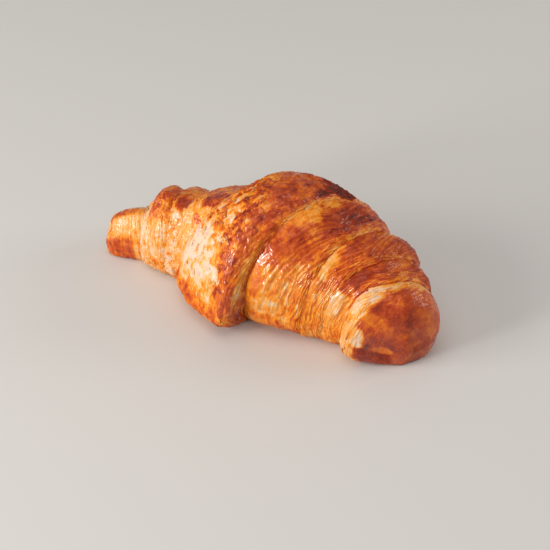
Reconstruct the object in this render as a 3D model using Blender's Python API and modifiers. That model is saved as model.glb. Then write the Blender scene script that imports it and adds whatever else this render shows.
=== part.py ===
"""A croissant: one strip of laminated dough, rolled from its wide end so that its turns lie over each other.

The roll lies along X with its underside on Z = 0, the thin tip at -X and the thick tip at +X.
The tail of the dough comes over the top from the back and ends in a lobe at the front, towards -Y.
"""

import math

import bmesh
import bpy
from mathutils import Vector

MM = 0.001

# How finely each turn is built: sides around the roll, and levels of Subdivision Surface on its cage
SIDES_AROUND = 20
SMOOTH_LEVELS = 1

# Section of the roll: shares of the height at which it is widest, in front and behind, and how square its
# upper and lower halves are
FRONT_WAIST = 0.32
BACK_WAIST = 0.38
UPPER_POWER = 2.15
LOWER_POWER = 2.7

# The cages dip this far below the table, and the base is cut flat there
BASE_DIP = 1.6 * MM

# The slab that cuts the base flat
CUT_LENGTH, CUT_WIDTH, CUT_DEPTH = 260 * MM, 160 * MM, 20 * MM

CRUST_COLOUR = (0.52, 0.19, 0.04, 1.0)
CRUST_ROUGHNESS = 0.42
SHARP_ANGLE = math.radians(35)

# The middle of the roll leans back a little towards the right, and its tips turn forward: by this much,
# at this distance out, the right one in a sharper hook
LEAN = 0.03
TIP_REACH = 80.0 * MM
LEFT_TURN, LEFT_HOOK = 12.0 * MM, 3
RIGHT_TURN, RIGHT_HOOK = 13.0 * MM, 3

# A cut face runs from its shoulder to its foot: places of the rings on it, and how far each has come down
FACE_RINGS = ((0.0, 0.0), (0.35, 0.16), (0.75, 0.58), (1.0, 1.0))
LEFT_SLOPE = ((0.0, 0.0), (0.3, 0.1), (0.7, 0.44), (1.0, 1.0))
RIGHT_SLOPE = ((0.0, 0.0), (0.3, 0.13), (0.7, 0.6), (1.0, 1.0))

# Lines round the roll have their places along X, in mm, at the back, top, front and under the roll.
# Sections have their half widths to the back and to the front and their height, in mm, and some also have the
# share of the height at which their front is widest.
MIDDLE = {
    "left_foot": (-11, -12, -39.5, -32),
    "left_foot_section": (30, 17.5, 52),
    "left_shoulder": (2, 0, -1, -6),
    "left_crest": (34, 42, 62.5, 0.2),
    "crown": (37, 43.5, 65.5, 0.2),
    "right_shoulder": (29, 21, 4.5, 8),
    "right_crest": (34, 41, 63, 0.2),
    "right_foot": (36, 31, 7.5, 12),
    "right_foot_section": (34, 31, 57, 0.26),
}
RIGHT_TURNS = [
    {
        "start": (32, 30.5, 55.5),
        "swell": (33, 30, 56),
        "shoulder": (44, 43, 34, 36),
        "crest": (32, 27.5, 53),
        "foot": (48, 48, 39, 41),
        "foot_section": (31, 25, 49.5),
    },
    {
        "start": (31, 24.5, 49.5),
        "swell": (34, 24, 50),
        "shoulder": (58, 57, 44, 46),
        "crest": (31, 22.5, 47),
        "foot": (62, 62, 49, 51),
        "foot_section": (27, 20, 43.5),
    },
    {
        "start": (26, 20, 43.5),
        "swell": (27, 20, 44),
        "shoulder": (69, 66, 58, 60),
        "crest": (24, 17, 41.5),
        "foot": (73, 71, 62, 64),
        "foot_section": (22, 13, 38),
    },
]
LEFT_TURNS = [
    {
        "start": (29, 19, 51),
        "swell": (28.5, 18, 49),
        "shoulder": (-30, -32, -40, -40),
        "crest": (25, 16.5, 43),
        "foot": (-35, -37, -43, -44),
        "foot_section": (22, 14.5, 39),
    },
    {
        "start": (22, 15, 39),
        "swell": (23, 15.5, 39.5),
        "shoulder": (-46, -45, -46, -46),
        "crest": (22, 15.5, 38.5),
        "foot": (-50, -49, -49, -50),
        "foot_section": (19, 13.5, 36),
    },
    {
        "start": (20, 14, 37),
        "swell": (21, 15, 39),
        "shoulder": (-57, -56, -55, -54),
        "crest": (19, 14, 36),
        "foot": (-66, -65, -64, -63),
        "foot_section": (12, 8, 25),
    },
]

# A tip: where it ends, its section, and its rings, each with its place on the way there and its shares of the
# section: half widths to the back and to the front, and height
RIGHT_TIP = {
    "end": (85, 85, 84, 81),
    "section": (22, 17, 38, 0.36),
    "rings": (
        (0.15, 1.0, 1.28, 1.0),
        (0.4, 1.0, 1.36, 1.0),
        (0.65, 0.96, 1.08, 0.95),
        (0.87, 0.82, 0.62, 0.83),
        (1.0, 0.5, 0.1, 0.6),
    ),
}
LEFT_TIP = {
    "end": (-81, -80, -81, -79),
    "section": (12, 6.8, 24, 0.36),
    "rings": (
        (0.4, 1.0, 1.0, 1.0),
        (0.75, 0.95, 0.95, 0.95),
        (0.94, 0.75, 0.7, 0.8),
        (1.0, 0.4, 0.35, 0.6),
    ),
}


def line(places):
    """Where a line round the roll lies along X, as a function of the angle, from its places at four sides.

    Angle 0 is the back (+Y), a quarter turn is the top, a half turn is the front (-Y).
    """
    back, top, front, under = (place * MM for place in places)
    mean = (back + top + front + under) / 4
    sway = (back - front) / 2
    lean = (top - under) / 2
    twist = (back + front - top - under) / 4
    return lambda angle: mean + sway * math.cos(angle) + lean * math.sin(angle) + twist * math.cos(2 * angle)


def between(first, second, share):
    """A line that lies between two others, at this share of the way."""
    return lambda angle: first(angle) * (1 - share) + second(angle) * share


def full(section):
    """A section with the share of its height at which its front is widest."""
    return tuple(section) if len(section) == 4 else (*section, FRONT_WAIST)


def blend(first, second, share):
    """A section that lies between two others, at this share of the way."""
    return tuple(a * (1 - share) + b * share for a, b in zip(full(first), full(second)))


def tucked(section):
    """A section drawn in to its middle, for a ring that lies inside the turn before."""
    return blend(section, (0, 0, *full(section)[2:]), 0.5)


def section_point(angle, section):
    """A point of a roll's section, across and up, wide and flat below and domed above."""
    *sizes, front_waist = full(section)
    back, front, height = (size * MM for size in sizes)
    across = math.cos(angle)
    up = math.sin(angle)
    power = UPPER_POWER if up >= 0 else LOWER_POWER
    size = (abs(across) ** power + abs(up) ** power) ** (-1 / power)
    wide, waist_share = (back, BACK_WAIST) if across > 0 else (front, front_waist)
    waist = waist_share * height
    rise = (height - waist) if up >= 0 else waist + BASE_DIP
    return wide * across * size, waist + rise * up * size


def bent(along, across, up):
    """A point of the straight roll, moved to its place on the crescent."""
    turn, hook = (RIGHT_TURN, RIGHT_HOOK) if along > 0 else (LEFT_TURN, LEFT_HOOK)
    reach = abs(along) / TIP_REACH
    back = LEAN * along - turn * reach**hook
    slope = LEAN - math.copysign(hook * turn / TIP_REACH * reach ** (hook - 1), along)
    length = math.hypot(1, slope)
    return Vector((along - across * slope / length, across / length + back, up))


def ring(place, section):
    """The points of one ring of a cage, on a line round the roll."""
    points = []
    for side in range(SIDES_AROUND):
        angle = 2 * math.pi * side / SIDES_AROUND
        points.append(bent(place(angle), *section_point(angle, section)))
    return points


def face_rings(shoulder, foot, crest, foot_section, fall=FACE_RINGS):
    """The rings of a cut face, from its shoulder down to its foot, and the one that turns in under it."""
    rings = [ring(between(shoulder, foot, way), blend(crest, foot_section, down)) for way, down in fall]
    return rings + [ring(between(shoulder, foot, 0.6), tucked(foot_section))]


def turn_rings(turn, before):
    """A side turn: it comes out from under the face before it, swells, and ends in a cut face of its own."""
    shoulder, foot = line(turn["shoulder"]), line(turn["foot"])
    start = turn["start"]
    swollen = between(before, shoulder, 0.6)
    rings = [ring(before, tucked(start)), ring(before, start), ring(swollen, turn["swell"])]
    return rings + face_rings(shoulder, foot, turn["crest"], turn["foot_section"])


def tip_rings(tip, before):
    """A tip: a rounded end that comes out from under the last cut face."""
    section = tip["section"]
    end = line(tip["end"])
    rings = [ring(before, tucked(section)), ring(before, section)]
    for way, *shares in tip["rings"]:
        sizes = [size * share for size, share in zip(section, (*shares, 1.0))]
        rings.append(ring(between(before, end, way), sizes))
    return rings


def middle_rings():
    """The middle turn, with the tail of the dough: a cut face to each side."""
    left, right = line(MIDDLE["left_shoulder"]), line(MIDDLE["right_shoulder"])
    left_foot, right_foot = line(MIDDLE["left_foot"]), line(MIDDLE["right_foot"])
    left_face = face_rings(left, left_foot, MIDDLE["left_crest"], MIDDLE["left_foot_section"], LEFT_SLOPE)
    crown = ring(between(left, right, 0.5), MIDDLE["crown"])
    crest, section = MIDDLE["right_crest"], MIDDLE["right_foot_section"]
    return left_face[::-1] + [crown] + face_rings(right, right_foot, crest, section, RIGHT_SLOPE)


def side_rings(turns, tip, before):
    """The turns on one side of the middle, from the middle outwards, and the tip."""
    made = []
    for turn in turns:
        made.append(turn_rings(turn, before))
        before = line(turn["shoulder"])
    return made + [tip_rings(tip, before)]


def loft(name, rings, collection):
    """A closed mesh object through these rings, its ends closed by fans."""
    around = len(rings[0])
    points = [p for r in rings for p in r]
    faces = []
    for row in range(len(rings) - 1):
        for side in range(around):
            after = (side + 1) % around
            a, b = row * around + side, row * around + after
            faces.append((a, b, b + around, a + around))
    for row, flip in ((0, True), (len(rings) - 1, False)):
        points.append(sum(rings[row], Vector()) / around)
        hub = len(points) - 1
        for side in range(around):
            after = (side + 1) % around
            pair = (row * around + side, row * around + after)
            faces.append((pair[1], pair[0], hub) if flip else (pair[0], pair[1], hub))
    mesh = bpy.data.meshes.new(name)
    mesh.from_pydata(points, [], faces)
    obj = bpy.data.objects.new(name, mesh)
    collection.objects.link(obj)
    smooth = obj.modifiers.new("smooth", "SUBSURF")
    smooth.levels = smooth.render_levels = SMOOTH_LEVELS
    return obj


def in_collection(name, parent):
    """A new collection inside another."""
    collection = bpy.data.collections.new(name)
    parent.children.link(collection)
    return collection


def table_cutter(collection):
    """A slab below the table's level, which cuts the base flat."""
    bpy.ops.mesh.primitive_cube_add(size=1, location=(0, 0, -CUT_DEPTH / 2))
    cutter = bpy.context.object
    cutter.name = "table_cut"
    cutter.dimensions = (CUT_LENGTH, CUT_WIDTH, CUT_DEPTH)
    cutter.hide_render = True
    cutter.display_type = "WIRE"
    for home in list(cutter.users_collection):
        home.objects.unlink(cutter)
    collection.objects.link(cutter)
    return cutter


def crust_material():
    """Browned, egg-washed crust."""
    material = bpy.data.materials.new("crust")
    material.use_nodes = True
    shader = material.node_tree.nodes["Principled BSDF"]
    shader.inputs["Base Color"].default_value = CRUST_COLOUR
    shader.inputs["Roughness"].default_value = CRUST_ROUGHNESS
    shader.inputs["Metallic"].default_value = 0.0
    return material


def joined(first, others):
    """One mesh from a turn and the collection of the others."""
    union = first.modifiers.new("union", "BOOLEAN")
    union.operation = "UNION"
    union.operand_type = "COLLECTION"
    union.collection = others
    union.solver = "MANIFOLD"
    graph = bpy.context.evaluated_depsgraph_get()
    return bpy.data.meshes.new_from_object(first.evaluated_get(graph))


def outer_skin(mesh):
    """Keep only the largest connected skin of a mesh, so that no hollow is left shut in between the turns."""
    form = bmesh.new()
    form.from_mesh(mesh)
    skins = []
    seen = set()
    for start in form.verts:
        if start in seen:
            continue
        seen.add(start)
        skin = [start]
        for vertex in skin:
            for edge in vertex.link_edges:
                other = edge.other_vert(vertex)
                if other not in seen:
                    seen.add(other)
                    skin.append(other)
        skins.append(skin)
    skins.sort(key=len)
    bmesh.ops.delete(form, geom=[vertex for skin in skins[:-1] for vertex in skin], context="VERTS")
    form.to_mesh(mesh)
    form.free()


def centre(mesh):
    """Move a mesh so that its box is centred on the origin, seen from above."""
    for axis in range(2):
        places = [vertex.co[axis] for vertex in mesh.vertices]
        middle = (min(places) + max(places)) / 2
        for vertex in mesh.vertices:
            vertex.co[axis] -= middle


def main():
    for obj in list(bpy.data.objects):
        bpy.data.objects.remove(obj)
    scene = bpy.context.scene.collection
    parts = in_collection("croissant", scene)
    cutters = in_collection("croissant_cutters", scene)
    turns = in_collection("turns", scene)

    middle = loft("middle", middle_rings(), scene)
    for number, rings in enumerate(side_rings(RIGHT_TURNS, RIGHT_TIP, line(MIDDLE["right_shoulder"]))):
        loft(f"right_{number}", rings, turns)
    for number, rings in enumerate(side_rings(LEFT_TURNS, LEFT_TIP, line(MIDDLE["left_shoulder"]))):
        loft(f"left_{number}", rings[::-1], turns)
    mesh = joined(middle, turns)
    for obj in [middle, *turns.objects]:
        bpy.data.objects.remove(obj)
    bpy.data.collections.remove(turns)

    outer_skin(mesh)
    centre(mesh)
    mesh.name = "croissant"
    mesh.materials.clear()
    mesh.materials.append(crust_material())
    mesh.shade_smooth()
    mesh.set_sharp_from_angle(angle=SHARP_ANGLE)
    croissant = bpy.data.objects.new("croissant", mesh)
    parts.objects.link(croissant)
    flat = croissant.modifiers.new("flat_base", "BOOLEAN")
    flat.operation = "DIFFERENCE"
    flat.object = table_cutter(cutters)


main()
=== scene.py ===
import itertools
import math

import bpy
import numpy as np
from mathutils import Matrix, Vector


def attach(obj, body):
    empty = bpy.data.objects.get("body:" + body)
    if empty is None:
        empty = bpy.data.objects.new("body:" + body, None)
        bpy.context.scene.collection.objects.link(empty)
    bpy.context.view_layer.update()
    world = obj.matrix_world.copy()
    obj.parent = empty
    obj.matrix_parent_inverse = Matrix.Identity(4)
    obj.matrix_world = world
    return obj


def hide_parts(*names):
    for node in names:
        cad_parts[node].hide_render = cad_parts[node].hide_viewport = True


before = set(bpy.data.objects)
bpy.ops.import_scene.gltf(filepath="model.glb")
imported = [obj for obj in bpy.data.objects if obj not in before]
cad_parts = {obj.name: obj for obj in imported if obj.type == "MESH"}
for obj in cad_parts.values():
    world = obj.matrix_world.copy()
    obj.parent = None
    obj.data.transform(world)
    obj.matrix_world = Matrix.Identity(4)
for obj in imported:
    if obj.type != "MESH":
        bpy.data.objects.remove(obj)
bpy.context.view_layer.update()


# The table and the light
# The croissant cools on a plain pale board of matt wood, under a large soft window to the left and the room's
# light all round. The camera looks down at it from the front, a little to the right.

BOARD_WIDTH, BOARD_TOP = 6.0, -0.0003

bpy.context.scene.view_settings.view_transform = "Standard"

bpy.ops.object.select_all(action="DESELECT")
bpy.ops.mesh.primitive_plane_add(size=BOARD_WIDTH, location=(0, 0, BOARD_TOP))
board = bpy.context.object
board.name = "board"
board_paint = bpy.data.materials.new("board_paint")
board_paint.use_nodes = True
board_shader = board_paint.node_tree.nodes["Principled BSDF"]
board_shader.inputs["Base Color"].default_value = (0.62, 0.61, 0.59, 1)
board_shader.inputs["Roughness"].default_value = 0.75
board.data.materials.append(board_paint)

room = bpy.data.worlds.new("room")
bpy.context.scene.world = room
room.use_nodes = True
room.node_tree.nodes["Background"].inputs["Color"].default_value = (1.0, 0.97, 0.94, 1)
room.node_tree.nodes["Background"].inputs["Strength"].default_value = 0.38


LIGHT_TARGET = Vector((0, 0, 0.03))


def soft_light(name, place, width, height, power, colour):
    """A wide soft light that looks at the croissant."""
    bpy.ops.object.light_add(type="AREA", location=place)
    lamp = bpy.context.object
    lamp.name = name
    lamp.data.shape = "RECTANGLE"
    lamp.data.size = width
    lamp.data.size_y = height
    lamp.data.energy = power
    lamp.data.color = colour
    lamp.rotation_euler = (LIGHT_TARGET - Vector(place)).to_track_quat("-Z", "Y").to_euler()


soft_light("window", (-0.62, -0.82, 0.52), 0.60, 0.40, 6.4, (1.0, 0.96, 0.91))
soft_light("low_window", (-0.44, -1.10, 0.24), 0.24, 0.18, 7.6, (1.0, 0.97, 0.94))
soft_light("far_window", (0.80, 0.62, 0.45), 0.5, 0.5, 3.5, (1.0, 0.95, 0.93))
soft_light("ceiling", (0.10, -0.30, 1.2), 0.9, 0.9, 4.0, (1.0, 0.97, 0.94))

VIEW_TURN, VIEW_TILT, VIEW_DISTANCE = math.radians(33), math.radians(38), 0.9
VIEW_TARGET = Vector((-0.00369, 0.0032, 0))
PICTURE_WIDTH = 550
towards_camera = Vector((math.sin(VIEW_TURN) * math.cos(VIEW_TILT),
                         -math.cos(VIEW_TURN) * math.cos(VIEW_TILT),
                         math.sin(VIEW_TILT)))
bpy.ops.object.camera_add(location=VIEW_TARGET + towards_camera * VIEW_DISTANCE,
                          rotation=(math.pi / 2 - VIEW_TILT, 0, VIEW_TURN))
camera = bpy.context.object
camera.data.sensor_width = 36
camera.data.lens = 124.9
camera.data.shift_x = 10 / PICTURE_WIDTH
camera.data.shift_y = 15 / PICTURE_WIDTH
camera.data.clip_start = 0.01
bpy.context.scene.camera = camera


# The middle turn and the tail
# The widest turn of the roll, of laminated butter dough: its tail comes over the top from the back and is
# pressed down at the front in a lobe. Its skin is egg-washed and browned, and each side of it ends in a cut,
# layered face. Sizes are in mm, and angles go round the roll: 0 at the back, 90 on top, 180 in front.

MM = 0.001
MIDDLE_OF_BOX = (3.69, -3.20)
BACK_WAIST, FRONT_WAIST = 0.38, 0.32
DOME_FULLNESS, BASE_FULLNESS, BASE_DEPTH = 2.15, 2.7, 1.6
BEND_REACH, LEFT_BEND, RIGHT_BEND, LEAN = 80, 12.0, 13.0, 0.03


def line(back, top, front, under):
    """Where a line round the roll lies along X, from its places at the four sides."""
    mean = (back + top + front + under) / 4
    return lambda angle: (mean + (back - front) / 2 * np.cos(angle) + (top - under) / 2 * np.sin(angle)
                          + (back + front - top - under) / 4 * np.cos(2 * angle))


def between(first, second, share):
    """A line that lies between two others, at this share of the way."""
    return lambda angle: first(angle) * (1 - share) + second(angle) * share


def full(sizes):
    """Half widths to the back and to the front, height, and the share of it at which the front is widest."""
    return tuple(sizes) if len(sizes) == 4 else (*sizes, FRONT_WAIST)


def blend(first, second, share):
    """A section that lies between two others, at this share of the way."""
    return tuple(a * (1 - share) + b * share for a, b in zip(full(first), full(second)))


def tucked(sizes):
    """A section drawn in to its middle, for a ring that lies inside the turn before."""
    return blend(sizes, (0, 0, *full(sizes)[2:]), 0.5)


def section(angle, sizes):
    """A section of the roll, wide and flat below and domed above, from its half widths and its height."""
    back, front, height, front_waist = full(sizes)
    across, up = np.cos(angle), np.sin(angle)
    fullness = np.where(up >= 0, DOME_FULLNESS, BASE_FULLNESS)
    size = (np.abs(across) ** fullness + np.abs(up) ** fullness) ** (-1 / fullness)
    waist = np.where(across > 0, BACK_WAIST, front_waist) * height
    rise = np.where(up >= 0, height - waist, waist + BASE_DEPTH)
    return np.where(across > 0, back, front) * across * size, waist + rise * up * size


def bent(along, across, up):
    """Points of the straight roll, moved to their places on the crescent."""
    bend, reach = np.where(along > 0, RIGHT_BEND, LEFT_BEND), np.abs(along) / BEND_REACH
    slope = LEAN - 3 * bend / BEND_REACH * reach**2 * np.sign(along)
    length = np.hypot(1, slope)
    return np.stack([along - across * slope / length - MIDDLE_OF_BOX[0],
                     across / length + LEAN * along - bend * reach**3 - MIDDLE_OF_BOX[1], up], axis=-1)


noise_mix = np.random.RandomState(7).permutation(256).astype(np.uint8)
noise_lean = np.array(list(itertools.product((-1, 0, 1), repeat=3)), dtype=np.float32)
noise_lean = noise_lean[np.abs(noise_lean).sum(axis=1) == 2][np.arange(256) % 12]


def noise(points, seed=0):
    """Smooth lumps about one unit apart, between about -1 and 1."""
    points = points.astype(np.float32) + np.float32(seed * 0.37)
    low = np.floor(points)
    part = points - low
    cell = low.astype(np.int32)
    ease = part * part * part * (part * (part * 6 - 15) + 10)
    total = np.zeros(points.shape[:-1], dtype=np.float32)
    for x in (0, 1):
        first = noise_mix[(cell[..., 0] + x + seed * 31) & 255]
        x_share = ease[..., 0] if x else 1 - ease[..., 0]
        for y in (0, 1):
            second = noise_mix[(first + cell[..., 1] + y) & 255]
            y_share = x_share * (ease[..., 1] if y else 1 - ease[..., 1])
            for z in (0, 1):
                lean = noise_lean[noise_mix[(second + cell[..., 2] + z) & 255]]
                away = (lean[..., 0] * (part[..., 0] - x) + lean[..., 1] * (part[..., 1] - y)
                        + lean[..., 2] * (part[..., 2] - z))
                total += away * y_share * (ease[..., 2] if z else 1 - ease[..., 2])
    return total * 1.1


def rough(points, seed=0, octaves=3):
    """Lumps with smaller lumps on them."""
    return sum(noise(points * 2**k + 17.3 * k, seed + k) * 0.55**k for k in range(octaves))


def step(low, high, value):
    """A smooth step from 0 at low to 1 at high."""
    share = np.clip((value - low) / (high - low), 0, 1)
    return share * share * (3 - 2 * share)


def bump(value, centre, width):
    """A rounded bump, 1 at the centre."""
    return np.exp(-((value - centre) / width) ** 2)


noise_spots = np.random.RandomState(11).rand(256, 3).astype(np.float32)


def plates(points, seed=0):
    """Irregular plates about one unit wide: each one's own share, the way in from its edge, and its slope."""
    points = points.astype(np.float32) + np.float32(seed * 0.53)
    low = np.floor(points)
    part, cell = points - low, low.astype(np.int32)
    first = np.full(points.shape[:-1], 9.0, dtype=np.float32)
    second, share, slope = first.copy(), first * 0, first * 0
    for x, y, z in itertools.product((-1, 0, 1), repeat=3):
        key = noise_mix[(cell[..., 0] + x + seed * 31) & 255]
        key = noise_mix[(key + cell[..., 1] + y) & 255]
        key = noise_mix[(key + cell[..., 2] + z) & 255]
        away = part - noise_spots[key] - np.array([x, y, z], dtype=np.float32)
        reach = (away**2).sum(axis=-1)
        nearer = reach < first
        second = np.where(nearer, first, np.minimum(second, reach))
        first = np.where(nearer, reach, first)
        share = np.where(nearer, key / 255, share)
        slope = np.where(nearer, (away * noise_lean[key]).sum(axis=-1), slope)
    return share, np.sqrt(second) - np.sqrt(first), slope


CAP_ROWS = 32


class Turn:
    """The dense skin of one turn: its points row by row along the roll, and where each lies on it.

    The skin is a smooth curve through the rings, with its rows packed as closely as each ring asks, and a
    domed cap where the turn is a tip.
    """

    def __init__(self, rings, rows, sides, dense, dome=0.0):
        angle = 2 * math.pi * np.arange(sides) / sides
        cage = [bent(place(angle), *section(angle, sizes)) for place, sizes in rings]
        cage = np.stack([cage[0]] * 2 + cage + [cage[-1]] * 2)
        fine = np.linspace(0, len(rings) + 1, 4000)
        share = np.cumsum(np.interp(fine - 1, np.arange(len(rings)), dense))
        self.place = np.interp(np.linspace(0, 1, rows), (share - share[0]) / (share[-1] - share[0]), fine)
        span = np.minimum(self.place.astype(int), len(rings))
        t = (self.place - span)[:, None, None]
        self.points = ((1 - t) ** 3 * cage[span] + (3 * t**3 - 6 * t**2 + 4) * cage[span + 1]
                       + (-3 * t**3 + 3 * t**2 + 3 * t + 1) * cage[span + 2] + t**3 * cage[span + 3]) / 6
        if dome:
            rim, middle = self.points[-1], self.points[-1].mean(axis=0)
            outward = middle - self.points[-6].mean(axis=0)
            outward *= dome / np.linalg.norm(outward)
            share = np.linspace(0, 1, CAP_ROWS + 2)[1:-1, None, None]
            cap = middle + (rim - middle) * (1 - share) + outward * (1 - (1 - share) ** 2)
            self.points = np.concatenate([self.points, cap])
            self.place = np.concatenate([self.place, self.place[-1] + 0.6 * share[:, 0, 0]])
        self.angle = np.broadcast_to(angle, self.points.shape[:2])
        self.degrees = (np.degrees(self.angle) + 90) % 360 - 90
        self.ring = np.broadcast_to(self.place[:, None] - 1, self.points.shape[:2])
        gap = np.linalg.norm(np.diff(self.points, axis=0), axis=-1)
        self.length = np.concatenate([np.zeros((1, sides)), np.cumsum(gap, axis=0)])
        self.size = np.linalg.norm(self.points - self.points.mean(axis=1, keepdims=True), axis=-1).mean()
        self.find_normals()

    def find_normals(self):
        """Which way out is at each point."""
        along = np.gradient(self.points, axis=0)
        round_it = np.roll(self.points, -1, axis=1) - np.roll(self.points, 1, axis=1)
        normals = np.cross(round_it, along)
        normals /= np.linalg.norm(normals, axis=-1, keepdims=True) + 1e-9
        outward = self.points - self.points.mean(axis=1, keepdims=True)
        self.normals = normals * np.sign((normals * outward).sum())

    def from_ring(self, ring):
        """How far each point lies past a ring, in mm along the skin."""
        row = np.interp(ring + 1, self.place, np.arange(len(self.place)))
        low = int(row)
        return self.length - (self.length[low] * (low + 1 - row) + self.length[low + 1] * (row - low))

    def front(self, start, end):
        """A share that changes from 0 to 1 between two angles and fades out under the croissant."""
        return step(start, end, self.degrees) * step(-90, -50, self.degrees) * step(268, 225, self.degrees)

    def behind(self):
        """1 at the back of the croissant, 0 on top and in front."""
        return step(75, 35, self.degrees) * step(-70, -30, self.degrees)

    def grain(self, along, around):
        """Noise coordinates stretched round the roll: lumps this long along it and this long round it."""
        reach = self.size / around
        across, up = np.cos(self.angle) * reach, np.sin(self.angle) * reach
        return np.stack([self.length / along, across, up], axis=-1)

    def patch(self, angle, ring, wide, long, seed=0):
        """A ragged patch of skin: its middle, in degrees round and rings along, and its reach both ways."""
        round_it = (np.degrees(self.angle) - angle + 180) % 360 / wide - 180 / wide
        far = np.hypot(round_it, (self.ring - ring) / long)
        return step(1.25, 0.55, far + 0.4 * rough(self.points / 6, 900 + seed, 3))

    def raise_by(self, height):
        """Moves the skin out by its relief, and keeps where it was."""
        self.plain, self.plain_normals, self.height = self.points, self.normals, height
        self.points = self.points + self.normals * height[..., None]
        self.find_normals()


def ledges(turn, past, seed, pitch=1.3, depth=0.25):
    """The edges of the dough's layers on a cut face: broken ledges one above the other."""
    wander = noise(turn.grain(7, 14), seed) * 1.2 + noise(turn.grain(2.5, 5), seed + 1) * 0.4
    share = (past / pitch + wander) % 1.0
    ledge = np.where(share < 0.75, share / 0.75, (1 - share) / 0.25)
    return depth * (ledge - 0.5) * step(-0.35, 0.4, noise(turn.grain(2.2, 7), seed + 2))


def blisters(turn, seed, size=3.4, height=0.35):
    """Bubbles under the skin."""
    small = noise(turn.points / (size * 0.45), seed + 1)
    return height * (step(0.15, 0.6, noise(turn.points / size, seed)) + 0.4 * step(0.12, 0.6, small))


def streaks(turn, seed):
    """Stretch lines in the skin, which run round the roll, between about -1 and 1."""
    bend = turn.grain(1.7, 13.0)
    bend[..., 0] += 1.1 * noise(turn.grain(8, 10), seed + 7)
    fine = turn.grain(0.7, 7.0)
    fine[..., 0] += 2.0 * noise(turn.grain(6, 8), seed + 8)
    folds = 1 - 3.4 * np.abs(noise(bend * 1.3 + 5.5, seed + 3))
    return 0.8 * noise(bend, seed) + 0.5 * noise(fine, seed + 5) + 0.6 * np.clip(folds, -0.3, 1)


def lumps(turn, seed, depth=0.7):
    """The unevenness of hand-rolled dough."""
    return depth * noise(turn.points / 22, seed) + depth * 0.45 * noise(turn.points / 8, seed + 1)


def flaking(turn, seed, size=3.0):
    """Crust cracked into small plates: the plates' relief, and how much more or less each has baked."""
    points = turn.points + 1.3 * np.stack([rough(turn.points / 3.0, seed + k, 2) for k in (1, 2, 3)], axis=-1)
    share, inside, slope = plates(points / size, seed)
    small_share, small_inside, small_slope = plates(points / (size * 0.45), seed + 9)
    relief = 0.5 * slope + 0.35 * (share - 0.5) - 0.25 * step(0.16, 0.0, inside)
    relief = relief + 0.28 * small_slope + 0.2 * (small_share - 0.5) - 0.12 * step(0.2, 0.0, small_inside)
    return relief, 0.6 * (share - 0.5) + 0.45 * (small_share - 0.5)


crust = bpy.data.materials.new("crust")
crust.use_nodes = True
crust_shader = crust.node_tree.nodes["Principled BSDF"]


def crust_node(kind, **settings):
    """A new node of the crust's colours, with its values set."""
    made = crust.node_tree.nodes.new(kind)
    for key, value in settings.items():
        if key in made.inputs:
            made.inputs[key].default_value = value
        else:
            setattr(made, key, value)
    return made


def crust_link(source, socket):
    """Joins two nodes."""
    crust.node_tree.links.new(source, socket)


def crust_maths(operation, *values):
    """A sum on numbers and on what other nodes give."""
    made = crust_node("ShaderNodeMath", operation=operation)
    for socket, value in zip(made.inputs, values):
        if isinstance(value, (int, float)):
            socket.default_value = value
        else:
            crust_link(value, socket)
    return made.outputs[0]


crust_where = crust_node("ShaderNodeTexCoord").outputs["Object"]
crust_bake = crust_node("ShaderNodeAttribute", attribute_name="bake").outputs["Fac"]
crust_gloss = crust_node("ShaderNodeAttribute", attribute_name="gloss").outputs["Fac"]
crust_grain = crust_node("ShaderNodeAttribute", attribute_name="grain").outputs["Vector"]
crust_fine = crust_node("ShaderNodeTexNoise", Scale=1100.0, Detail=3.0, Roughness=0.6)
crust_link(crust_where, crust_fine.inputs["Vector"])
crust_blotch = crust_node("ShaderNodeTexNoise", Scale=260.0, Detail=3.0, Roughness=0.6)
crust_link(crust_where, crust_blotch.inputs["Vector"])
crust_thread = crust_node("ShaderNodeTexNoise", Scale=1.0, Detail=3.0, Roughness=0.65)
crust_link(crust_grain, crust_thread.inputs["Vector"])
crust_tone = crust_maths("ADD", crust_bake, -0.30)
crust_tone = crust_maths("MULTIPLY_ADD", crust_fine.outputs["Fac"], 0.16, crust_tone)
crust_tone = crust_maths("MULTIPLY_ADD", crust_blotch.outputs["Fac"], 0.20, crust_tone)
crust_tone = crust_maths("MULTIPLY_ADD", crust_thread.outputs["Fac"], 0.24, crust_tone)
crust_ramp = crust_node("ShaderNodeValToRGB")
crust_stops = ((0.0, (0.72, 0.50, 0.37)), (0.10, (0.72, 0.44, 0.245)), (0.21, (0.74, 0.355, 0.10)),
               (0.35, (0.76, 0.25, 0.012)), (0.50, (0.62, 0.135, 0.007)), (0.66, (0.45, 0.054, 0.005)),
               (0.84, (0.26, 0.020, 0.004)), (1.0, (0.10, 0.009, 0.004)))
while len(crust_ramp.color_ramp.elements) < len(crust_stops):
    crust_ramp.color_ramp.elements.new(0.5)
for element, (place, colour) in zip(crust_ramp.color_ramp.elements, crust_stops):
    element.position = place
    element.color = (*colour, 1)
crust_link(crust_tone, crust_ramp.inputs["Fac"])
crust_link(crust_ramp.outputs["Color"], crust_shader.inputs["Base Color"])
crust_rough = crust_maths("MULTIPLY_ADD", crust_gloss, -0.30, 0.58)
crust_rough = crust_maths("MULTIPLY_ADD", crust_blotch.outputs["Fac"], 0.16, crust_rough)
crust_link(crust_rough, crust_shader.inputs["Roughness"])
crust_link(crust_maths("MULTIPLY", crust_gloss, 0.95), crust_shader.inputs["Coat Weight"])
crust_shader.inputs["Coat Roughness"].default_value = 0.14
crust_shader.inputs["Specular IOR Level"].default_value = 0.25
crust_shader.inputs["Specular Tint"].default_value = (1.0, 0.7, 0.4, 1)
crust_shader.inputs["Subsurface Weight"].default_value = 0.10
crust_shader.inputs["Subsurface Radius"].default_value = (1.0, 0.45, 0.15)
crust_shader.inputs["Subsurface Scale"].default_value = 0.0012
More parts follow.
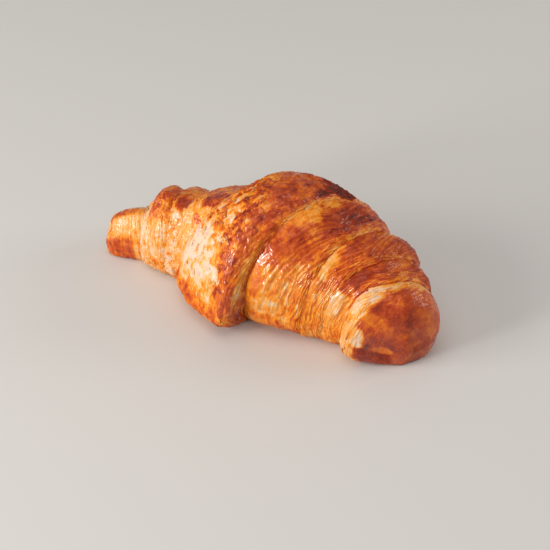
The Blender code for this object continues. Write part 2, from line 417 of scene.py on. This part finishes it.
crust_relief = crust_node("ShaderNodeBump", Strength=0.6, Distance=0.0003)
crust_height = crust_maths("MULTIPLY_ADD", crust_fine.outputs["Fac"], 0.7, crust_thread.outputs["Fac"])
crust_link(crust_height, crust_relief.inputs["Height"])
crust_link(crust_relief.outputs["Normal"], crust_shader.inputs["Normal"])


def paint(mesh, name, values):
    """Gives each point of a mesh a value of its own, or a place, that the crust's colours read."""
    kind, field = ("FLOAT", "value") if values.ndim == 1 else ("FLOAT_VECTOR", "vector")
    mesh.attributes.new(name, kind, "POINT").data.foreach_set(field, values.astype(np.float32).ravel())


def make_turn(name, turn, bake, gloss, leftwards=False, grain=None):
    """The turn's mesh: a fine sheet wrapped round the roll, joined at its seam and drawn in at its ends."""
    rows, sides = turn.points.shape[:2]
    bpy.ops.object.select_all(action="DESELECT")
    bpy.ops.mesh.primitive_grid_add(x_subdivisions=sides, y_subdivisions=rows + 1, size=2.0)
    piece = bpy.context.object
    piece.name = piece.data.name = name
    mesh = piece.data
    places = np.empty(len(mesh.vertices) * 3, dtype=np.float32)
    mesh.vertices.foreach_get("co", places)
    places = places.reshape(-1, 3)
    side = np.rint((places[:, 0] + 1) / 2 * sides).astype(int) % sides
    row = np.rint((places[:, 1] + 1) / 2 * (rows + 1)).astype(int)
    if leftwards:
        row = rows + 1 - row

    def spread(values):
        """The values of the skin's points, in the order of the sheet's."""
        ends = [np.broadcast_to(values[end].mean(axis=0), values[:1].shape) for end in (0, -1)]
        return np.concatenate([ends[0], values, ends[1]])[row, side].astype(np.float32)

    points = spread(turn.points)
    points[:, 2] = np.maximum(points[:, 2], 0.0)
    mesh.vertices.foreach_set("co", (points * np.float32(MM)).ravel())
    paint(mesh, "bake", spread(bake))
    paint(mesh, "gloss", spread(np.clip(gloss, 0, 1)))
    paint(mesh, "grain", spread(turn.grain(0.7, 6.0) if grain is None else grain))
    bpy.ops.object.mode_set(mode="EDIT")
    bpy.ops.mesh.select_all(action="SELECT")
    bpy.ops.mesh.remove_doubles(threshold=1e-7)
    bpy.ops.mesh.normals_make_consistent(inside=False)
    bpy.ops.object.mode_set(mode="OBJECT")
    mesh.materials.append(crust)
    mesh.shade_smooth()
    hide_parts("croissant")
    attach(piece, "root")


def face_rings(shoulder, foot, crest, foot_section, fall=((0, 0), (0.35, 0.16), (0.75, 0.58), (1, 1))):
    """The rings of a cut face, from its shoulder down to its foot, and the one that turns in under it."""
    rings = [(between(shoulder, foot, way), blend(crest, foot_section, down)) for way, down in fall]
    return rings + [(between(shoulder, foot, 0.6), tucked(foot_section))]


def painted(turn, bake, *patches):
    """How far the skin has baked, changed patch by patch towards each patch's own.

    About 0.1 is cream, 0.35 gold, 0.5 amber, 0.65 chestnut and 0.85 dark brown.
    """
    bake = np.full(turn.angle.shape, bake)
    for share, value in patches:
        bake = bake + share * (value - bake)
    return bake


# The rings count from the left: 1 is the left foot, 4 its shoulder, 5 the crown, 6 the right shoulder and 9 its
# foot. On a side turn 1 is the start, 2 the swell, 3 the shoulder and 6 the foot.
LEFT_FOOT, LEFT_SHOULDER = line(-11, -12, -39.5, -32), line(2, 0, -1, -6)
RIGHT_SHOULDER, RIGHT_FOOT = line(29, 21, 4.5, 8), line(36, 31, 7.5, 12)
left_rings = face_rings(LEFT_SHOULDER, LEFT_FOOT, (34, 42, 62.5, 0.2), (30, 17.5, 52),
                        ((0, 0), (0.3, 0.1), (0.7, 0.44), (1, 1)))
right_rings = face_rings(RIGHT_SHOULDER, RIGHT_FOOT, (34, 41, 63, 0.2), (34, 31, 57, 0.26),
                         ((0, 0), (0.3, 0.13), (0.7, 0.6), (1, 1)))
crown_ring = (between(LEFT_SHOULDER, RIGHT_SHOULDER, 0.5), (37, 43.5, 65.5, 0.2))
middle = Turn(left_rings[::-1] + [crown_ring] + right_rings, rows=252, sides=390,
              dense=(0.2, 1.2, 1.5, 1.5, 1.3, 1, 1.3, 1.5, 1.5, 1, 0.2))
left_of_ridge, right_of_ridge = -middle.from_ring(4), middle.from_ring(6)
cream = middle.patch(153, 2.1, 24, 2.0, 3)
flaky = middle.patch(112, 3.0, 36, 2.2, 1) + 0.7 * middle.patch(150, 4.3, 20, 0.7, 2) + 0.45 * cream
flaky = np.clip(flaky, 0, 1)
right_face = step(7.0, 7.8, middle.ring) * step(9.3, 8.3, middle.ring) * middle.front(132, 104)

chips, chip_bake = flaking(middle, 21, 3.2)
skin = streaks(middle, 11)
height = lumps(middle, 1)
height += flaky * (0.85 * chips + 0.15 * skin)
height += (1 - flaky) * (0.34 * skin + 0.4 * chips)
height += step(4.2, 5.2, middle.ring) * (1 - right_face) * blisters(middle, 13, 3.4, 0.5)
height += step(7.0, 7.8, middle.ring) * ledges(middle, right_of_ridge, 7, 1.6, 0.55)
height += step(1.6, 1.1, middle.ring) * ledges(middle, left_of_ridge, 3, 1.3, 0.3)
height += 2.4 * bump(middle.degrees, 206, 15) * bump(middle.ring, 8.0, 1.3)

bake = painted(
    middle, 0.55,
    (step(4.6, 3.4, middle.ring), 0.37),
    (middle.patch(90, 2.5, 16, 1.6, 4), 0.50),
    (cream, 0.06),
    (middle.patch(190, 3.0, 16, 2.0, 5), 0.55),
    (middle.patch(160, 5.0, 28, 0.7, 6), 0.66),
    (middle.patch(100, 5.8, 34, 1.3, 7), 0.66),
    (middle.patch(72, 7.2, 16, 1.1, 8), 0.90),
    (middle.patch(56, 6.7, 16, 1.6, 13), 0.92),
    (middle.patch(160, 7.0, 20, 0.7, 9), 0.32),
    (right_face * (1 - middle.patch(60, 8, 12, 1.5, 10)), 0.26),
    (middle.patch(192, 6.0, 12, 1.6, 11), 0.47),
)
bake -= 0.16 * cream * step(-0.1, 0.5, noise(middle.points / 5, 31))
bake += 0.13 * skin
bake += flaky * chip_bake * 0.9 + (1 - flaky) * 0.34 * chip_bake
bake += 0.13 * rough(middle.points / 7, 22, 2)
gloss = (0.25 + 0.75 * step(3.4, 5.0, middle.ring)) * (0.55 + 0.5 * noise(middle.points / 9, 24))
gloss *= step(35, 75, middle.degrees)
gloss *= 1 - 0.7 * middle.patch(58, 6.9, 26, 1.9, 13)

middle.raise_by(height)
make_turn("middle_turn", middle, bake, gloss)

# Each skin that has loose flakes: where they are likely, its bake, how many, and how broad they are.
flaked = [(middle, 0.05 + flaky, bake, 200, 1.0), (middle, right_face, bake, 60, 0.0)]


# The right-hand turns
# Three narrower turns of the same dough step down towards the thick tip. Each comes out from under the cut
# face before it, swells a little, and ends in a cut face of its own, where the layers show.


def turn_rings(before, shoulder, foot, start, swell, crest, foot_section):
    """The rings of a side turn, from under the face before it to the foot of its own."""
    rings = [(before, tucked(start)), (before, start), (between(before, shoulder, 0.6), swell)]
    return rings + face_rings(shoulder, foot, crest, foot_section)


def raised_start(turn, height, start, end):
    """Fills the crease at a turn's start: how high, and the angles between which it sets in."""
    return height * step(2.8, 1.2, turn.ring) * turn.front(start, end)


def make_skin(name, turn, seed, bake, gloss, leftwards=False, flaky=0.0, swell=0.0, calm=0.0):
    """A side turn's relief, the finer changes in its bake with painted glints where it shines most, and its
    mesh.
    """
    chips, chip_bake = flaking(turn, seed + 21, 2.6)
    skin = streaks(turn, seed + 11)
    shine = np.clip(gloss * 1.6 - 0.9, 0, 1)

    height = 0.8 * lumps(turn, seed) + (0.36 - 0.18 * flaky) * skin + (0.16 + 0.55 * flaky) * chips
    height = height + swell + 0.7 * blisters(turn, seed + 3)
    height = height + step(3.0, 4.2, turn.ring) * ledges(turn, turn.from_ring(3), seed + 5, 1.2, 0.35)
    height = height + 0.45 * shine * noise(turn.grain(1.7, 3.6), seed + 12)
    height = height + turn.behind() * (1.5 * bump(turn.ring, 3.0, 1.1) - 1.1 * step(2.1, 1.2, turn.ring))

    fine = 0.18 * skin * (1 - 0.5 * flaky) + (0.2 + 0.7 * flaky) * chip_bake
    fine = fine + 0.12 * rough(turn.points / 6, seed + 6, 2)
    bake = bake + (1 - 0.75 * calm) * fine
    bake = bake + turn.behind() * (0.14 * bump(turn.ring, 3.0, 0.9) - 0.2 * bump(turn.ring, 1.6, 0.4))
    rim = bump(turn.ring + 0.2 * noise(turn.points / 5, seed + 13), 3.9, 0.11)
    rim = rim * step(-0.3, 0.2, noise(turn.points / 6, seed + 14))
    # painted highlight: where the skin shines most its stretch lines are painted paler, as painted glints
    bake = bake - 0.28 * rim * (1 - flaky) - 0.42 * shine * step(0.1, 0.9, skin)
    bake = bake - 0.25 * bump(turn.ring, 5.2, 0.5) * step(-0.1, 0.4, noise(turn.grain(3, 9), seed + 8))

    turn.raise_by(height)
    likely, broad = 0.04 + flaky + 0.8 * bump(turn.ring, 5.0, 1.0), np.max(flaky)
    flaked.append((turn, likely, bake, 50 + 60 * broad, broad))
    make_turn(name, turn, bake, gloss * (0.8 + 0.6 * noise(turn.points / 8, seed + 9)), leftwards)


SIDE_DENSE = (0.2, 0.6, 1.2, 1.2, 1.3, 1.3, 1, 0.3)
R1_SHOULDER, R1_FOOT = line(44, 43, 34, 36), line(48, 48, 39, 41)
R2_SHOULDER, R2_FOOT = line(58, 57, 44, 46), line(62, 62, 49, 51)
R3_SHOULDER, R3_FOOT = line(69, 66, 58, 60), line(73, 71, 62, 64)

right_1 = Turn(turn_rings(RIGHT_SHOULDER, R1_SHOULDER, R1_FOOT, start=(32, 30.5, 55.5), swell=(33, 30, 56),
                          crest=(32, 27.5, 53), foot_section=(31, 25, 49.5)),
               rows=170, sides=520, dense=SIDE_DENSE)
bake = painted(
    right_1, 0.55,
    (right_1.front(135, 165), 0.42),
    (right_1.front(20, -5), 0.44),
    (right_1.patch(92, 1.6, 36, 0.72, 1), 0.30),
    (right_1.patch(84, 3.0, 34, 1.2, 2), 0.71),
    (right_1.patch(76, 2.9, 15, 1.0, 6), 0.78),
    (right_1.patch(128, 2.2, 16, 1.2, 3), 0.62),
    # painted highlight: this pale pinkish-cream patch low in front stands in for a glint
    (right_1.patch(178, 1.9, 12, 0.5, 4), 0.18),
)
gloss = 0.45 + 0.8 * right_1.patch(152, 2.5, 20, 1.4, 5)
swell = 4.6 * step(3.0, 1.1, right_1.ring) * (1 - 0.7 * step(165, 190, right_1.degrees))
make_skin("right_turn_1", right_1, 101, bake, gloss, swell=swell)

right_2 = Turn(turn_rings(R1_SHOULDER, R2_SHOULDER, R2_FOOT, start=(31, 24.5, 49.5), swell=(34, 24, 50),
                          crest=(31, 22.5, 47), foot_section=(27, 20, 43.5)),
               rows=170, sides=460, dense=SIDE_DENSE)
bake = painted(
    right_2, 0.58,
    (right_2.front(130, 160), 0.38),
    (right_2.front(20, -5), 0.44),
    (right_2.patch(128, 1.5, 24, 0.9, 1), 0.31),
    (right_2.patch(84, 3.1, 30, 1.6, 2), 0.63),
)
gloss = 0.45 + 0.8 * right_2.patch(150, 3.0, 18, 1.6, 3)
make_skin("right_turn_2", right_2, 131, bake, gloss, swell=raised_start(right_2, 1.3, 110, 150))

right_3 = Turn(turn_rings(R2_SHOULDER, R3_SHOULDER, R3_FOOT, start=(26, 20, 43.5), swell=(27, 20, 44),
                          crest=(24, 17, 41.5), foot_section=(22, 13, 38)),
               rows=170, sides=400, dense=SIDE_DENSE)
smooth_patch = right_3.patch(121, 2.2, 19, 1.3, 1)
bake = painted(
    right_3, 0.60,
    (right_3.front(128, 150), 0.37),
    (right_3.front(20, -5), 0.44),
    (smooth_patch, 0.85),
    # painted highlight: this pale patch low in front stands in for a white glint
    (right_3.patch(150, 1.9, 10, 1.0, 4), 0.16),
    (right_3.patch(168, 2.0, 12, 0.8, 2), 0.24),
)
gloss = 0.5 + 0.6 * right_3.patch(138, 2.0, 34, 1.5, 3) - 0.45 * right_3.patch(118, 2.2, 17, 1.2, 1)
make_skin("right_turn_3", right_3, 161, bake, gloss, swell=raised_start(right_3, 1.3, 110, 150),
          calm=smooth_patch)


# The thick tip
# The rounded right-hand end of the roll, of the same dough, rolled up tight. It lay nearest the oven's fan,
# and its skin has browned most.


def tip_rings(before, end, sizes, shares):
    """The rings of a tip, from under the turn before it: how far along each is, and shares of its sizes."""
    rings = [(before, tucked(sizes)), (before, sizes)]
    for way, *parts in shares:
        rings.append((between(before, end, way), [size * part for size, part in zip(sizes, (*parts, 1))]))
    return rings


tip = Turn(tip_rings(R3_SHOULDER, line(85, 85, 84, 81), (22, 17, 38, 0.36),
                     ((0.15, 1, 1.28, 1), (0.4, 1, 1.36, 1), (0.65, 0.96, 1.08, 0.95),
                      (0.87, 0.82, 0.62, 0.83), (1, 0.5, 0.1, 0.6))),
           rows=200, sides=360, dense=(0.2, 1, 1, 1, 1, 1, 1), dome=1.6)
skin, (chips, chip_bake) = streaks(tip, 211), flaking(tip, 221, 3.0)
edge = step(4.0, 3.0, tip.ring)
bake = painted(
    tip, 0.68,
    (tip.patch(142, 4.2, 11, 0.9, 6), 0.50),
    (tip.patch(120, 4.6, 15, 0.7, 7), 0.78),
    (tip.patch(100, 5.4, 18, 0.8, 9), 0.76),
    (tip.patch(30, 4.5, 40, 2.0, 1), 0.58),
    (tip.patch(196, 4.6, 34, 1.2, 8), 0.86),
    (step(3.7, 2.9, tip.ring + 0.35 * noise(tip.points / 4, 231)), 0.17),
    (tip.patch(187, 5.0, 9, 0.7, 2), 0.50),
    (tip.patch(206, 4.6, 10, 0.6, 3), 0.88),
    # painted highlight: this pale pinkish-cream patch on the tip's left stands in for a glint
    (tip.patch(172, 3.5, 14, 0.45, 5), 0.09),
)
bake += (0.05 + 0.15 * edge) * skin + 0.12 * chip_bake + 0.14 * rough(tip.points / 6, 206, 2)
height = 0.9 * lumps(tip, 201) + (0.13 + 0.2 * edge) * skin + 0.14 * chips + 0.6 * blisters(tip, 205)
height -= 1.6 * bump(tip.degrees, 190, 26) * bump(tip.ring, 4.9, 0.8)
height -= 1.2 * bump(tip.degrees, 118, 20) * bump(tip.ring, 4.2, 0.7)
tip.raise_by(height)
flaked.append((tip, edge, bake, 60, 0.0))
gloss = 0.65 + 0.4 * noise(tip.points / 8, 209) + 0.6 * tip.patch(176, 3.6, 16, 1.0, 4)
make_turn("thick_tip", tip, bake, gloss, grain=tip.points / 2.6)


# The left-hand turns
# Three short turns of the same dough step down to the thin tip. They stood away from the oven's fan and
# stayed paler, and their layers have flaked.

L1_SHOULDER, L1_FOOT = line(-30, -32, -40, -40), line(-35, -37, -43, -44)
L2_SHOULDER, L2_FOOT = line(-46, -45, -46, -46), line(-50, -49, -49, -50)
L3_SHOULDER, L3_FOOT = line(-57, -56, -55, -54), line(-66, -65, -64, -63)

left_1 = Turn(turn_rings(LEFT_SHOULDER, L1_SHOULDER, L1_FOOT, start=(29, 19, 51), swell=(28.5, 18, 49),
                         crest=(25, 16.5, 43), foot_section=(22, 14.5, 39)),
              rows=200, sides=400, dense=(0.2, 0.6, 1.4, 1.2, 1.2, 1.2, 1, 0.3))
bake = painted(
    left_1, 0.45,
    (left_1.front(95, 120), 0.26),
    (left_1.patch(104, 2.3, 17, 0.7, 1), 0.78),
    (left_1.patch(152, 2.6, 24, 2.6, 2), 0.22),
    (left_1.patch(130, 2.5, 9, 0.45, 3), 0.38),
)
make_skin("left_turn_1", left_1, 301, bake, 0.7, leftwards=True, flaky=0.35,
          swell=raised_start(left_1, 2.2, 95, 130))

left_2 = Turn(turn_rings(L1_SHOULDER, L2_SHOULDER, L2_FOOT, start=(22, 15, 39), swell=(23, 15.5, 39.5),
                         crest=(22, 15.5, 38.5), foot_section=(19, 13.5, 36)),
              rows=150, sides=360, dense=SIDE_DENSE)
smooth_patch = left_2.patch(104, 2.2, 14, 1.1, 1)
bake = painted(
    left_2, 0.48,
    (left_2.front(105, 130), 0.20),
    (smooth_patch, 0.83),
)
make_skin("left_turn_2", left_2, 331, bake, 0.75, leftwards=True, flaky=0.2 + 0.5 * left_2.front(110, 130),
          swell=raised_start(left_2, 1.5, 105, 140), calm=smooth_patch)

left_3 = Turn(turn_rings(L2_SHOULDER, L3_SHOULDER, L3_FOOT, start=(20, 14, 37), swell=(21, 15, 39),
                         crest=(19, 14, 36), foot_section=(12, 8, 25)),
              rows=170, sides=340, dense=SIDE_DENSE)
pale_front = step(122, 142, left_3.degrees + 12 * noise(left_3.points / 6, 390)) * left_3.front(90, 110)
bake = painted(
    left_3, 0.52,
    (left_3.patch(95, 2.2, 26, 1.4, 1), 0.64),
    (left_3.patch(117, 1.8, 9, 0.5, 4), 0.45),
    (pale_front, 0.19),
    (left_3.patch(196, 2.5, 14, 2.0, 2), 0.38),
    (step(4.0, 4.8, left_3.ring), 0.12),
)
swell = raised_start(left_3, 1.5, 105, 140) + 1.6 * left_3.patch(95, 2.2, 18, 0.9, 5)
swell -= 2.8 * step(2.4, 4.8, left_3.ring) * bump(left_3.degrees, 90, 60)
make_skin("left_turn_3", left_3, 361, bake, 0.7, leftwards=True, flaky=0.3, swell=swell)


# The thin tip
# The small left-hand end of the roll, of the same dough, bent a little forward, with a dent where it was
# pinched off.

TIP_SIDES = 260
tip = Turn(tip_rings(L3_SHOULDER, line(-81, -80, -81, -79), (12, 6.8, 24, 0.36),
                     ((0.4, 1.0, 1.0, 1.0), (0.75, 0.95, 0.95, 0.95), (0.94, 0.75, 0.7, 0.8),
                      (1.0, 0.4, 0.35, 0.6))),
           rows=150, sides=TIP_SIDES, dense=(0.2, 1, 1, 1, 1, 1), dome=0.8)
skin, (chips, chip_bake) = streaks(tip, 411), flaking(tip, 421, 2.4)
brown_foot = step(150, 172, tip.degrees + 10 * noise(tip.points / 5, 431)) * tip.front(90, 120)
bake = painted(
    tip, 0.18,
    (tip.patch(85, 3.0, 24, 2.4, 1), 0.56),
    (brown_foot, 0.58),
    (bump(tip.ring, 2.0, 0.25), 0.26),
)
bake += 0.12 * skin + 0.22 * chip_bake + 0.10 * rough(tip.points / 5, 406, 2)
dented = tip.points[np.argmin(np.abs(tip.ring[:, 0] - 4.4)), int(133 / 360 * TIP_SIDES)]
dent = bump(np.linalg.norm(tip.points - dented, axis=-1), 0, 3.2)
height = 0.9 * lumps(tip, 401) + 0.28 * skin + 0.25 * chips + 0.6 * blisters(tip, 405)
height += 1.5 * step(3.6, 1.6, tip.ring) * bump(tip.degrees, 90, 60) - 2.6 * dent
tip.raise_by(height)
make_turn("thin_tip", tip, bake, 0.6 + 0.5 * noise(tip.points / 6, 409), leftwards=True,
          grain=tip.points / (2.0, 1.0, 1.0))


# The loose flakes
# Where the crust has cracked, thin flakes of its outermost layer stand up along one edge. Along the cut faces
# of the right-hand turns they are long and narrow, and follow the layers round the roll.

SPOKES = 9
INNER_REACH = 0.6
FLAKE_LIFT, FLAKE_SINK = (0.08, 0.28), 0.05
MIDDLE_THICK, THINNER_OUT = 0.07, 0.04
LOWEST = 0.1

spoke_reach = np.concatenate([[0.0], np.full(SPOKES, INNER_REACH), np.full(SPOKES, 1.0)])
spoke_angle = np.concatenate([[0.0], np.tile(2 * math.pi * np.arange(SPOKES) / SPOKES, 2)])
inner, outer = 1 + np.arange(SPOKES), 1 + SPOKES + np.arange(SPOKES)
upper_faces = [(0, a, b) for a, b in zip(inner, np.roll(inner, -1))]
upper_faces += [(a, b, c, d) for a, b, c, d in zip(inner, outer, np.roll(outer, -1), np.roll(inner, -1))]
side = len(spoke_reach)
flake_faces = upper_faces + [tuple(corner + side for corner in reversed(face)) for face in upper_faces]
flake_faces += [(b, a, a + side, b + side) for a, b in zip(outer, np.roll(outer, -1))]


def skin_at(values, row, column):
    """The skin's values at places between its points."""
    low, left, sides = row.astype(int), np.floor(column).astype(int), values.shape[1]
    down, across = (row - low)[:, None], (column - left)[:, None]
    first = values[low, left % sides] * (1 - across) + values[low, (left + 1) % sides] * across
    second = values[low + 1, left % sides] * (1 - across) + values[low + 1, (left + 1) % sides] * across
    return first * (1 - down) + second * down


dice = np.random.RandomState(5)
flake_points, flake_bake = [], []
for turn, likely, bake, count, broad in flaked:
    rows, sides = turn.height.shape
    row_step = np.linalg.norm(np.gradient(turn.plain, axis=0), axis=-1)
    side_step = np.linalg.norm(np.roll(turn.plain, -1, axis=1) - turn.plain, axis=-1)
    seen = (turn.ring > 1.6) & (turn.plain[..., 2] > 3)
    chance = np.cumsum((likely * seen * row_step * side_step).ravel())
    for pick in np.searchsorted(chance, dice.rand(int(count)) * chance[-1]):
        row, column = divmod(pick, sides)
        if broad > 0.5:
            along, round_it = dice.uniform(0.5, 1.5), dice.uniform(0.6, 1.9)
        else:
            along, round_it = dice.uniform(0.25, 0.5), dice.uniform(1.5, 3.6)
        heading = dice.normal(0, 0.9 if broad > 0.5 else 0.12)
        reach = spoke_reach * np.concatenate([[0.0], np.tile(dice.uniform(0.45, 1.3, SPOKES), 2)])
        x, y = along * reach * np.cos(spoke_angle), round_it * reach * np.sin(spoke_angle)
        x, y = x * math.cos(heading) - y * math.sin(heading), x * math.sin(heading) + y * math.cos(heading)
        place = np.clip(row + x / row_step[row, column], 0, rows - 1.001), column + y / side_step[row, column]
        base, out = skin_at(turn.plain, *place), skin_at(turn.plain_normals, *place)
        tilt = dice.uniform(0, 2 * math.pi) if broad > 0.5 else dice.choice([0, math.pi])
        edge = (reach * np.cos(spoke_angle - tilt) + 1) / 2
        lift = dice.uniform(*FLAKE_LIFT)
        height = turn.height[row, column] - FLAKE_SINK + lift * edge + 0.25 * lift * edge**2
        thick = MIDDLE_THICK - THINNER_OUT * spoke_reach
        flake_points += [base + out * (height + thick)[:, None], base + out * (height - thick)[:, None]]
        shade = bake[row, column] * 0.85 + dice.uniform(-0.08, 0.12) + 0.05 * (1 - edge)
        flake_bake += [shade, shade]

corners = [tuple(corner + 2 * side * flake for corner in face)
           for flake in range(len(flake_points) // 2) for face in flake_faces]
flake_points = np.concatenate(flake_points)
flakes_mesh = bpy.data.meshes.new("loose_flakes")
flakes_mesh.from_pydata((np.maximum(flake_points, (-np.inf, -np.inf, LOWEST)) * MM).tolist(), [], corners)
paint(flakes_mesh, "bake", np.concatenate(flake_bake))
paint(flakes_mesh, "gloss", np.full(len(flake_points), 0.7))
paint(flakes_mesh, "grain", flake_points * 0.8)
flakes_mesh.materials.append(crust)
flakes = bpy.data.objects.new("loose_flakes", flakes_mesh)
bpy.context.scene.collection.objects.link(flakes)
flakes_mesh.shade_smooth()
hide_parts("croissant")
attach(flakes, "root")
